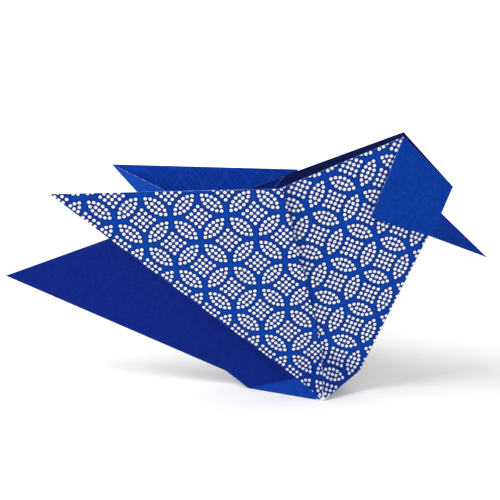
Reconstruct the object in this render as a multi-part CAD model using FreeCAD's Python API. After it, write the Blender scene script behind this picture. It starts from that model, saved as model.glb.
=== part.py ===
import FreeCAD, Part
import math
import os

# Origami sparrow: one square sheet, folded, standing on the flattened tip of its fold.
# Millimetres, +X towards the beak, +Z up, y = 0 is the plane of symmetry, origin on the table
# under the middle of the foot.  All corners lie on the sheet's middle surface.

PAPER = 0.15                 # paper thickness
BEAD = 0.6 * PAPER           # radius of the rounded fold lines
Vec = FreeCAD.Vector
FLOOR = PAPER / 2            # height of the paper's middle where it lies on the table

# breast: the front fold, where the two sides of the body meet
BREAST_FOOT = Vec(19.8, 0, 7.3)
BREAST_TOP = Vec(46.0, 0, 66.6)
BODY_SPREAD = 18.8           # degrees between each body side and the plane of symmetry
NECK_ALONG = 72.8            # head's top corner, measured along the breast fold
NECK_OFF = 21.3              # and square to it
PLEAT_RUN = 32.9             # neck edge's run to the hidden pleat, at 45 degrees to the breast
KNEE_ALONG = 3.2             # lower end of the wing's front fold
KNEE_OFF = 15.1

# foot: the tip of the fold, opened out flat on the table
FOOT_HEEL = Vec(-15.4, -2.2, FLOOR)
FOOT_SIDE = Vec(9.1, -9.5, FLOOR)

# wing, tail and head corners on the near side
WING_TIP = Vec(-68.5, -31.0, 66.7)
WING_SHOULDER = Vec(-2.8, -19.7, 68.0)
WING_HEEL_X = 0.3
WING_HEEL_Z = 4.8
TAIL_TIP = Vec(-96.4, 0, 33.7)
KEEL_END = Vec(-23.2, 0, 4.8)     # where the tail's lower fold opens into the foot
TAIL_ROOT = Vec(-4.7, -1.7, 68.8)
LINING_DIP = Vec(-20.0, -8.0, 50.5)     # low point of the cut edge inside the wing
CHEEK = Vec(22.1, -8.2, 58.1)
THROAT_X = 40.1
THROAT_Z = 51.4
BROW_X = 42.9
BROW_Z = 58.5
BEAK_TIP = Vec(57.2, 0, 45.3)


def body_point(along, off):
    """Point of the near body side, from the breast fold."""
    up = (BREAST_TOP - BREAST_FOOT).normalize()
    spread = math.radians(BODY_SPREAD)
    back = Vec(-up.z * math.cos(spread), -math.sin(spread), up.x * math.cos(spread))
    return BREAST_FOOT + up * along + back * off


def in_plane(a, b, c, x, z):
    """Point at x, z in the plane of three corners."""
    n = (b - a).cross(c - a)
    y = a.y - (n.x * (x - a.x) + n.z * (z - a.z)) / n.y
    return Vec(x, y, z)


def mirror(p):
    return Vec(p.x, -p.y, p.z)


def facet(points):
    """Flat piece of paper, half its thickness to each side of its corners."""
    n = (points[1] - points[0]).cross(points[2] - points[0]).normalize()
    lower = [p - n * (PAPER / 2) for p in points]
    face = Part.Face(Part.makePolygon(lower + [lower[0]]))
    return face.extrude(n * PAPER)


def fold(a, b):
    """Rounded fold line between two flat pieces."""
    return Part.makeCylinder(BEAD, (b - a).Length, a, b - a)


head_top = body_point(NECK_ALONG, NECK_OFF)
pleat = body_point(NECK_ALONG - PLEAT_RUN, NECK_OFF + PLEAT_RUN)
knee = body_point(KNEE_ALONG, KNEE_OFF)
wing_heel = in_plane(WING_TIP, WING_SHOULDER, knee, WING_HEEL_X, WING_HEEL_Z)
throat = in_plane(head_top, BREAST_TOP, CHEEK, THROAT_X, THROAT_Z)
brow = in_plane(head_top, BREAST_TOP, CHEEK, BROW_X, BROW_Z)

facets = [
    [WING_TIP, WING_SHOULDER, knee, wing_heel],
    [WING_SHOULDER, pleat, knee],
    [pleat, head_top, BREAST_TOP, BREAST_FOOT, knee],
    [knee, BREAST_FOOT, FOOT_SIDE],
    [knee, FOOT_SIDE, wing_heel],
    [wing_heel, FOOT_SIDE, FOOT_HEEL],
    [WING_TIP, wing_heel, LINING_DIP],
    [LINING_DIP, wing_heel, TAIL_ROOT],
    [TAIL_ROOT, wing_heel, FOOT_HEEL],
    [TAIL_ROOT, FOOT_HEEL, KEEL_END],
    [TAIL_TIP, TAIL_ROOT, KEEL_END],
    [head_top, CHEEK, throat, brow, BREAST_TOP],
    [brow, BEAK_TIP, throat],
]
folds = [
    (WING_SHOULDER, knee),
    (pleat, knee),
    (knee, BREAST_FOOT),
    (knee, FOOT_SIDE),
    (knee, wing_heel),
    (wing_heel, FOOT_SIDE),
    (wing_heel, FOOT_HEEL),
    (WING_TIP, wing_heel),
    (LINING_DIP, wing_heel),
    (TAIL_ROOT, wing_heel),
    (TAIL_ROOT, FOOT_HEEL),
    (TAIL_ROOT, KEEL_END),
    (FOOT_HEEL, KEEL_END),
    (FOOT_SIDE, FOOT_HEEL),
    (FOOT_SIDE, BREAST_FOOT),
    (head_top, BREAST_TOP),
    (brow, throat),
]

# folds and flat pieces that cross or lie in the plane of symmetry
middle_facets = [
    [FOOT_HEEL, FOOT_SIDE, mirror(FOOT_SIDE), mirror(FOOT_HEEL)],
    [KEEL_END, FOOT_HEEL, mirror(FOOT_HEEL)],
    [FOOT_SIDE, BREAST_FOOT, mirror(FOOT_SIDE)],
]
middle_folds = [
    (BREAST_FOOT, BREAST_TOP),
    (TAIL_TIP, KEEL_END),
    (FOOT_SIDE, mirror(FOOT_SIDE)),
    (FOOT_HEEL, mirror(FOOT_HEEL)),
]

pieces = [facet(f) for f in facets + middle_facets]
pieces += [facet([mirror(p) for p in f]) for f in facets]
pieces += [fold(a, b) for a, b in folds + middle_folds]
pieces += [fold(mirror(a), mirror(b)) for a, b in folds]

sheet = pieces[0].multiFuse(pieces[1:])

# the foot is pressed flat where it meets the table
below = Part.makeBox(60, 60, 5, Vec(-30, -30, -5))
sheet = sheet.cut(below)
solid = max(sheet.Solids, key=lambda s: s.Volume)

os.makedirs("parts", exist_ok=True)
solid.exportStep("parts/folded_sheet.step")
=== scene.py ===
import math
import bpy
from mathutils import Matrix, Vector


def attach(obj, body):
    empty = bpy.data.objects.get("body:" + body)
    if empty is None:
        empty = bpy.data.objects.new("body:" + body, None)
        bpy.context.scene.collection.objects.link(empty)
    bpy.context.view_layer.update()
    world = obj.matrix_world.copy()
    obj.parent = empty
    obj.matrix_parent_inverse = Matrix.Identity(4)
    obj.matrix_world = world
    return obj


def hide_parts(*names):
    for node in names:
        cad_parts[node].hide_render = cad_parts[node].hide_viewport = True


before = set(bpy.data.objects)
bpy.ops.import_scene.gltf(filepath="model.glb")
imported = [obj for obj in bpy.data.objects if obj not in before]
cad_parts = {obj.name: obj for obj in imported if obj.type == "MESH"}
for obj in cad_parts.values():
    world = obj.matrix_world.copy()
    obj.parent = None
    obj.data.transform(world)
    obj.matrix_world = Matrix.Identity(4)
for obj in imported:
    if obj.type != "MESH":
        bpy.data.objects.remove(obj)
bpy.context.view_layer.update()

# Origami sparrow: the looks of one folded square sheet, as one skin in place of the CAD sheet.
# +X towards the beak, +Z up, y = 0 is the plane of symmetry, origin on the table under the foot.
# Corners lie on the sheet's middle surface.  The near side is -Y, and the far side mirrors it.

MM = 0.001
PAPER = 0.15 * MM            # paper thickness
BEAD = 0.085 * MM            # radius of the rounded fold lines
BEAD_SIDES = 8
TABLE_GAP = 0.02 * MM        # between the table and the underside of the foot
PATTERN = 11.47 * MM         # repeat of the print

# the sizes below are in millimetres
INSET = 0.1                  # how far some outermost corners are drawn in from the CAD sheet's
BODY_SPREAD = 18.8           # degrees between each body side and the plane of symmetry
NECK_ALONG = 72.8            # head's top corner, measured along the breast fold
NECK_OFF = 21.3              # and square to it
PLEAT_RUN = 32.9             # neck edge's run to the hidden pleat, at 45 degrees to the breast
KNEE_ALONG = 3.2             # lower end of the wing's front fold
KNEE_OFF = 15.1
WING_HEEL_X = 0.3
WING_HEEL_Z = 4.8
THROAT_X = 40.1
THROAT_Z = 51.4
BROW_X = 42.9
BROW_Z = 58.5
WORN_LENGTH = 2.4            # rubbed stretch of each edge that meets the foot's corner
WORN_RADIUS = 0.16
WORN_LIFT = 0.1

NEAR = Vector((0, -1, 0))
FAR = Vector((0, 1, 0))
DOWN = Vector((0, 0, -1))
FORWARD = Vector((1, 0, 0))

# ---------------------------------------------------------------- corners of the folded sheet


def mm(x, y, z):
    return Vector((x, y, z)) * MM


def on_table(x, y):
    return mm(x, y, 0) + Vector((0, 0, PAPER / 2 + TABLE_GAP))


def mirror(p):
    return Vector((p.x, -p.y, p.z))


def body_point(along, off):
    """Point of the near body side, from the breast fold."""
    up = (breast_top - breast_foot).normalized()
    spread = math.radians(BODY_SPREAD)
    back = Vector((-up.z * math.cos(spread), -math.sin(spread), up.x * math.cos(spread)))
    return breast_foot + up * along * MM + back * off * MM


def in_plane(a, b, c, x, z):
    """Point at x, z in the plane of three corners."""
    n = (b - a).cross(c - a)
    x, z = x * MM, z * MM
    return Vector((x, a.y - (n.x * (x - a.x) + n.z * (z - a.z)) / n.y, z))


breast_foot = mm(19.8, 0, 7.3)
breast_top = mm(46.0, 0, 66.6)
foot_heel = on_table(-15.4, -2.2)
foot_side = on_table(9.1, -9.5 + INSET)
keel_end = mm(-23.2, 0, 4.8)
wing_tip = mm(-68.5, -31.0, 66.7)
shoulder = mm(-2.8, -19.7, 68.0)
lining_dip = mm(-20.0, -8.0, 50.5)
tail_tip = mm(-96.4 + INSET, 0, 33.7)
tail_root = mm(-4.7, -1.7, 68.8)
cheek = mm(22.1, -8.2, 58.1)
beak_tip = mm(57.2 - INSET, 0, 45.3)
head_top = body_point(NECK_ALONG, NECK_OFF - INSET)
pleat = body_point(NECK_ALONG - PLEAT_RUN, NECK_OFF + PLEAT_RUN)
knee = body_point(KNEE_ALONG, KNEE_OFF)
wing_heel = in_plane(wing_tip, shoulder, knee, WING_HEEL_X, WING_HEEL_Z)
throat = in_plane(head_top, breast_top, cheek, THROAT_X, THROAT_Z)
brow = in_plane(head_top, breast_top, cheek, BROW_X, BROW_Z)

# ---------------------------------------------------------------- where each corner lies on the print

# Print positions count in repeats of the pattern.  Its rows run along the wing's lower edge and
# along the breast fold, so one position on each of them places the print on the whole side.
WING_TIP_UV = Vector((-2.20, -0.96))
BREAST_FOOT_UV = Vector((2.80, 3.16))
ALONG_WING = Vector((1, 0))
ALONG_BREAST = Vector((0, -1))


def unfold(a, b, c, ua, ub, side):
    """Print position of c, from those of a and b, on the given side of the line a-b."""
    along = (b - a).normalized()
    t = (c - a).dot(along)
    h = ((c - a) - along * t).length
    d = (ub - ua).normalized()
    return ua + d * (t / PATTERN) + Vector((-d.y, d.x)) * (side * h / PATTERN)


def on_wing(p):
    return unfold(wing_tip, wing_heel, p, WING_TIP_UV, WING_TIP_UV + ALONG_WING, 1)


def on_body(p):
    return unfold(breast_foot, breast_top, p, BREAST_FOOT_UV, BREAST_FOOT_UV + ALONG_BREAST, -1)


wing = [wing_tip, shoulder, knee, wing_heel]
body = [pleat, head_top, breast_top, breast_foot, knee]
wing_uv = [on_wing(p) for p in wing]
body_uv = [on_body(p) for p in body]
foot_front_uv = unfold(knee, breast_foot, foot_side, on_body(knee), BREAST_FOOT_UV, 1)
foot_rear_uv = unfold(knee, wing_heel, foot_side, on_wing(knee), on_wing(wing_heel), 1)

# ---------------------------------------------------------------- flat pieces and folds

# each flat piece of one side: corners, material outside, material inside, print positions
SIDE_FLATS = [
    (wing, "printed", "wing_inside_painted_light", wing_uv),
    ([shoulder, pleat, knee], "plain_blue", "plain_blue", None),
    (body, "printed", "inside_painted_shade", body_uv),
    ([knee, breast_foot, foot_side], "printed_foot_painted_shade", "inside_painted_shade",
     [on_body(knee), BREAST_FOOT_UV, foot_front_uv]),
    ([knee, foot_side, wing_heel], "printed_foot_painted_shade", "inside_painted_shade",
     [on_wing(knee), foot_rear_uv, on_wing(wing_heel)]),
    ([wing_heel, foot_side, foot_heel], "plain_blue", "plain_blue", None),
    ([wing_tip, wing_heel, lining_dip], "plain_blue", "lining_painted_light", None),
    ([lining_dip, wing_heel, tail_root], "plain_blue_painted_shade", "inside_painted_shade", None),
    ([tail_root, wing_heel, foot_heel], "plain_blue_painted_shade", "inside_painted_shade", None),
    ([tail_root, foot_heel, keel_end], "plain_blue_painted_shade", "plain_blue_painted_shade", None),
    ([tail_tip, tail_root, keel_end], "plain_blue_painted_shade", "plain_blue_painted_shade", None),
    ([head_top, cheek, throat, brow, breast_top], "plain_blue", "plain_blue", None),
    ([brow, beak_tip, throat], "beak_painted_shade", "beak_painted_shade", None),
]
# each flat piece across the middle: corners, and the way its outside faces
MIDDLE_FLATS = [
    ([foot_heel, foot_side, mirror(foot_side), mirror(foot_heel)], DOWN),
    ([keel_end, foot_heel, mirror(foot_heel)], DOWN),
    ([foot_side, breast_foot, mirror(foot_side)], FORWARD),
]
SIDE_FOLDS = [
    (pleat, knee), (knee, breast_foot), (knee, foot_side), (knee, wing_heel),
    (wing_heel, foot_side), (wing_heel, foot_heel), (wing_tip, wing_heel), (lining_dip, wing_heel),
    (tail_root, wing_heel), (tail_root, foot_heel), (tail_root, keel_end), (foot_heel, keel_end),
    (foot_side, foot_heel), (foot_side, breast_foot),
    (head_top, breast_top), (brow, throat),
]
MIDDLE_FOLDS = [(breast_foot, breast_top), (tail_tip, keel_end)]

# ---------------------------------------------------------------- material helpers


def new_material(name):
    m = bpy.data.materials.new(name)
    m.use_nodes = True
    return m, m.node_tree, m.node_tree.nodes["Principled BSDF"]


def math_node(t, op, a, b=None, c=None):
    n = t.nodes.new("ShaderNodeMath")
    n.operation = op
    for i, v in enumerate((a, b, c)):
        if v is None:
            continue
        if isinstance(v, (int, float)):
            n.inputs[i].default_value = v
        else:
            t.links.new(v, n.inputs[i])
    return n.outputs[0]


def map_range(t, value, low, high, start=0, end=1, smooth=False):
    """Carry a value from low..high to start..end."""
    n = t.nodes.new("ShaderNodeMapRange")
    if smooth:
        n.interpolation_type = "SMOOTHSTEP"
    n.inputs["From Min"].default_value = low
    n.inputs["From Max"].default_value = high
    n.inputs["To Min"].default_value = start
    n.inputs["To Max"].default_value = end
    t.links.new(value, n.inputs["Value"])
    return n.outputs["Result"]


def srgb(r, g, b):
    def lin(c):
        c /= 255
        return c / 12.92 if c <= 0.04045 else ((c + 0.055) / 1.055) ** 2.4
    return (lin(r), lin(g), lin(b), 1)


def noise(t, scale, detail):
    place = t.nodes.new("ShaderNodeTexCoord")
    n = t.nodes.new("ShaderNodeTexNoise")
    n.inputs["Scale"].default_value = scale
    n.inputs["Detail"].default_value = detail
    t.links.new(place.outputs["Object"], n.inputs["Vector"])
    return n.outputs["Fac"]


def mix(t, fac, a, b):
    n = t.nodes.new("ShaderNodeMix")
    n.data_type = "RGBA"
    # inputs 0, 6 and 7 are the factor and the two colours
    for sock, v in ((n.inputs[0], fac), (n.inputs[6], a), (n.inputs[7], b)):
        if isinstance(v, (tuple, float, int)):
            sock.default_value = v
        else:
            t.links.new(v, sock)
    return n.outputs[2]


def bump(t, height, strength, distance):
    n = t.nodes.new("ShaderNodeBump")
    n.inputs["Strength"].default_value = strength
    n.inputs["Distance"].default_value = distance
    t.links.new(height, n.inputs["Height"])
    return n


def paper_surface(t, bsdf, colour):
    """Fibre grain, slight waviness and a soft sheen over a colour."""
    t.links.new(colour, bsdf.inputs["Base Color"])
    bsdf.inputs["Roughness"].default_value = 0.62
    bsdf.inputs["Specular IOR Level"].default_value = 0.06
    grain = bump(t, noise(t, scale=2600, detail=6), strength=0.12, distance=0.0001)
    wave = bump(t, noise(t, scale=38, detail=1), strength=0.35, distance=0.0012)
    t.links.new(wave.outputs["Normal"], grain.inputs["Normal"])
    t.links.new(grain.outputs["Normal"], bsdf.inputs["Normal"])


def mottle(t, low, high):
    """Slightly uneven ink, between two close colours."""
    return mix(t, map_range(t, noise(t, scale=900, detail=5), 0.35, 0.65), low, high)


# ---------------------------------------------------------------- the print

# Dots of the pattern, in repeats.  DIAMOND is a quarter of the four-sided group, from its middle.
# LENS is a quarter of a lens, from its middle: x across it, y along it.
DOT = 0.0435                 # radius of a dot
DOT_BLUR = 0.008             # softness of its rim
DOT_RING = 0.105             # reach of the darker ink around the dots, from their middles
LENS_ARC = 0.468             # radius of the row of dots down a lens's side
LENS_ARC_MIDDLE = -0.33      # where that row's centre lies across the lens
DIAMOND = [(0.0605, 0.0605), (0.19, 0.07), (0.07, 0.19), (0.205, 0.20)]
LENS = [(LENS_ARC * math.cos(math.radians(a)) + LENS_ARC_MIDDLE, LENS_ARC * math.sin(math.radians(a)))
        for a in (0, 15, 30, 45)]
LENS += [(0, 0), (0, 0.116)]


def nearest_dot(t):
    """Distance on the print to the nearest dot's middle, in repeats."""
    uv = t.nodes.new("ShaderNodeUVMap")
    uv.uv_map = "print"
    sep = t.nodes.new("ShaderNodeSeparateXYZ")
    t.links.new(uv.outputs["UV"], sep.inputs["Vector"])
    # each repeat is folded into one quarter, with lenses in the middles of its sides
    p = math_node(t, "PINGPONG", sep.outputs["X"], 0.5)
    q = math_node(t, "PINGPONG", sep.outputs["Y"], 0.5)
    p_in = math_node(t, "SUBTRACT", 0.5, p)
    q_in = math_node(t, "SUBTRACT", 0.5, q)
    nearest = None
    for dots, x, y in ((DIAMOND, p, q), (LENS, p_in, q), (LENS, q_in, p)):
        both = t.nodes.new("ShaderNodeCombineXYZ")
        t.links.new(x, both.inputs["X"])
        t.links.new(y, both.inputs["Y"])
        for dx, dy in dots:
            gap = t.nodes.new("ShaderNodeVectorMath")
            gap.operation = "DISTANCE"
            t.links.new(both.outputs["Vector"], gap.inputs[0])
            gap.inputs[1].default_value = (dx, dy, 0)
            reach = gap.outputs["Value"]
            nearest = reach if nearest is None else math_node(t, "MINIMUM", nearest, reach)
    return nearest


# ---------------------------------------------------------------- materials


def plain(name, low, high):
    m, t, bsdf = new_material(name)
    paper_surface(t, bsdf, mottle(t, low, high))
    return m


def printed(name, low, high, ring, dot):
    """Dots in lenses with four-sided groups between, on a ground of another colour around the dots."""
    m, t, bsdf = new_material(name)
    nearest = nearest_dot(t)
    away = map_range(t, nearest, DOT, DOT_RING)
    ground = mix(t, away, ring, mottle(t, low, high))
    inside = map_range(t, nearest, DOT - DOT_BLUR, DOT + DOT_BLUR, 1, 0, smooth=True)
    paper_surface(t, bsdf, mix(t, inside, ground, dot))
    return m


def worn_line(name, base, worn, amount):
    """A fold line or cut edge, with its colour rubbed through in places."""
    m, t, bsdf = new_material(name)
    rubbed = map_range(t, noise(t, scale=500, detail=5), 0.62 - amount, 0.75 - amount)
    t.links.new(mix(t, rubbed, base, worn), bsdf.inputs["Base Color"])
    bsdf.inputs["Roughness"].default_value = 0.8
    return m


MATERIALS = [
    printed("printed", srgb(0, 58, 158), srgb(3, 68, 174), srgb(4, 26, 98), srgb(238, 242, 250)),
    # the print on the foot pieces is drawn darker: painted shade
    printed("printed_foot_painted_shade", srgb(0, 44, 132), srgb(3, 52, 146), srgb(4, 22, 84), srgb(205, 210, 238)),
    # the print shows faintly through the paper, and this blue is painted lighter as painted light on
    # the wing's inside
    printed("wing_inside_painted_light", srgb(0, 52, 150), srgb(3, 59, 162), srgb(0, 50, 150), srgb(0, 44, 138)),
    plain("plain_blue", srgb(1, 51, 145), srgb(4, 60, 160)),
    # darker blue of the tail: painted shade on a copy of the plain blue
    plain("plain_blue_painted_shade", srgb(8, 32, 118), srgb(12, 38, 130)),
    # dark blue of the insides: painted shade, standing in for the shade inside the body
    plain("inside_painted_shade", srgb(8, 20, 70), srgb(12, 26, 84)),
    # lighter blue of the wing lining's inside: painted light
    plain("lining_painted_light", srgb(8, 68, 172), srgb(14, 76, 184)),
    # darker blue of the beak: painted shade, for a facet that faces more downwards
    plain("beak_painted_shade", srgb(3, 42, 126), srgb(6, 48, 136)),
    # fold lines are darker than the paper as painted shade in the creases, and rubbed lighter in places
    # by wear
    worn_line("fold_line_painted_shade_and_wear", srgb(6, 40, 120), srgb(34, 74, 160), 0.0),
    worn_line("cut_edge", srgb(104, 130, 200), srgb(186, 198, 230), 0.12),
    worn_line("worn_tip", srgb(150, 165, 205), srgb(240, 240, 240), 0.3),
]
MATERIAL_INDEX = {m.name: i for i, m in enumerate(MATERIALS)}

# ---------------------------------------------------------------- the sheet as one piece

verts = []
faces = []
face_materials = []
face_uvs = []


def polygon(points, material, uv=None):
    start = len(verts)
    verts.extend(points)
    faces.append(list(range(start, len(verts))))
    face_materials.append(MATERIAL_INDEX[material])
    face_uvs.append(uv or [Vector((0, 0))] * len(points))


def flat(points, out, outside="plain_blue", inside="plain_blue", uv=None):
    """Flat piece of paper whose outside faces the way of out, with light cut edges."""
    n = (points[1] - points[0]).cross(points[2] - points[0]).normalized()
    if n.dot(out) < 0:
        points = points[::-1]
        uv = uv[::-1] if uv else None
        n = -n
    top = [p + n * PAPER / 2 for p in points]
    low = [p - n * PAPER / 2 for p in points]
    polygon(top, outside, uv)
    polygon(low[::-1], inside, uv[::-1] if uv else None)
    for i in range(len(points)):
        j = (i + 1) % len(points)
        polygon([low[i], low[j], top[j], top[i]], "cut_edge")


def bead(a, b, material="fold_line_painted_shade_and_wear", radius=BEAD):
    """Rounded fold line."""
    along = (b - a).normalized()
    u = along.orthogonal().normalized()
    v = along.cross(u)
    turns = [2 * math.pi * k / BEAD_SIDES for k in range(BEAD_SIDES)]
    ring = [(u * math.cos(turn) + v * math.sin(turn)) * radius for turn in turns]
    for k in range(BEAD_SIDES):
        r, s = ring[k], ring[(k + 1) % BEAD_SIDES]
        polygon([a + r, a + s, b + s, b + r], material)


def bead_pair(a, b, material="fold_line_painted_shade_and_wear"):
    bead(a, b, material)
    bead(mirror(a), mirror(b), material)


def worn_corner(corner, ends):
    """Short rubbed stretches of the edges that meet at a corner of the foot."""
    start = corner + Vector((0, 0, WORN_LIFT * MM))
    for end in ends:
        stretch = (end - corner).normalized() * WORN_LENGTH * MM
        bead(start, start + stretch, "worn_tip", WORN_RADIUS * MM)


def sheet_skin():
    mesh = bpy.data.meshes.new("sheet_skin")
    mesh.from_pydata([tuple(v) for v in verts], [], faces)
    layer = mesh.uv_layers.new(name="print")
    for poly in mesh.polygons:
        poly.material_index = face_materials[poly.index]
        for k, loop in enumerate(poly.loop_indices):
            layer.data[loop].uv = face_uvs[poly.index][k]
    for m in MATERIALS:
        mesh.materials.append(m)
    skin = bpy.data.objects.new("sheet_skin", mesh)
    bpy.context.scene.collection.objects.link(skin)
    return skin


for points, outside, inside, uv in SIDE_FLATS:
    flat(points, NEAR, outside, inside, uv)
    flat([mirror(p) for p in points], FAR, outside, inside, uv)
for points, out in MIDDLE_FLATS:
    flat(points, out)

# the wing's front fold lies in shade: its bead gets the dark inside colour as a painted shadow line
bead_pair(shoulder, knee, "inside_painted_shade")
for a, b in SIDE_FOLDS:
    bead_pair(a, b)
for a, b in MIDDLE_FOLDS:
    bead(a, b)

worn_ends = [breast_foot, foot_heel, knee, wing_heel]
worn_corner(foot_side, worn_ends)
worn_corner(mirror(foot_side), [mirror(p) for p in worn_ends])

skin = sheet_skin()
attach(skin, "root")
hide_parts("folded_sheet")

# ---------------------------------------------------------------- table, light, camera


def table_material():
    """Off-white table that brightens with distance for the camera, to join the backdrop."""
    m, t, bsdf = new_material("floor")
    bsdf.inputs["Base Color"].default_value = (0.86, 0.855, 0.845, 1)
    bsdf.inputs["Roughness"].default_value = 0.9
    bsdf.inputs["Specular IOR Level"].default_value = 0.1
    place = t.nodes.new("ShaderNodeTexCoord")
    reach = t.nodes.new("ShaderNodeVectorMath")
    reach.operation = "LENGTH"
    t.links.new(place.outputs["Object"], reach.inputs[0])
    level = map_range(t, reach.outputs["Value"], 0.08, 0.6, 0.17, 1.0)
    path = t.nodes.new("ShaderNodeLightPath")
    seen = math_node(t, "MULTIPLY", path.outputs["Is Camera Ray"], level)
    glow = t.nodes.new("ShaderNodeEmission")
    glow.inputs["Color"].default_value = (1, 0.995, 0.985, 1)
    t.links.new(seen, glow.inputs["Strength"])
    add = t.nodes.new("ShaderNodeAddShader")
    t.links.new(bsdf.outputs[0], add.inputs[0])
    t.links.new(glow.outputs[0], add.inputs[1])
    t.links.new(add.outputs[0], t.nodes["Material Output"].inputs["Surface"])
    return m


def white_world():
    """Even white light, brighter where the camera sees it than where it lights the paper."""
    lighting = 0.55
    extra_seen = 0.5
    world = bpy.data.worlds.new("studio")
    bpy.context.scene.world = world
    world.use_nodes = True
    t = world.node_tree
    path = t.nodes.new("ShaderNodeLightPath")
    level = math_node(t, "MULTIPLY_ADD", path.outputs["Is Camera Ray"], extra_seen, lighting)
    t.links.new(level, t.nodes["Background"].inputs["Strength"])
    t.nodes["Background"].inputs["Color"].default_value = (1, 1, 1, 1)


def softbox(name, location, size, watts, aim):
    light = bpy.data.lights.new(name, "AREA")
    light.shape = "SQUARE"
    light.size = size
    light.energy = watts
    o = bpy.data.objects.new(name, light)
    o.location = location
    o.rotation_mode = "QUATERNION"
    o.rotation_quaternion = (Vector(location) - Vector(aim)).to_track_quat("Z", "Y")
    bpy.context.scene.collection.objects.link(o)


def camera(place, tilt, turn, focal_length):
    """Camera facing the near side, raised by tilt and swung towards the beak by turn, in degrees."""
    cam = bpy.data.cameras.new("camera")
    cam.sensor_width = 36
    cam.lens = focal_length
    cam.clip_start = 0.01
    eye = bpy.data.objects.new("camera", cam)
    tilt, turn = math.radians(tilt), math.radians(turn)
    behind = Vector((math.sin(turn) * math.cos(tilt), -math.cos(turn) * math.cos(tilt), math.sin(tilt)))
    eye.location = place
    eye.rotation_mode = "QUATERNION"
    eye.rotation_quaternion = (-behind).to_track_quat("-Z", "Y")
    bpy.context.scene.collection.objects.link(eye)
    bpy.context.scene.camera = eye


bpy.ops.mesh.primitive_plane_add(size=6, location=(0, 0, 0))
floor = bpy.context.object
floor.name = "floor"
floor.data.materials.append(table_material())

white_world()
softbox("key", (-0.55, -0.35, 1.0), 0.6, 9.5, aim=(0.02, 0, 0.03))
softbox("fill", (0.1, -1.0, 0.35), 0.8, 3.0, aim=(0, 0, 0.04))
camera(mm(29.6, -294.5, 113.6), tilt=12.95, turn=8.68, focal_length=70.3)
bpy.context.scene.view_settings.view_transform = "Standard"
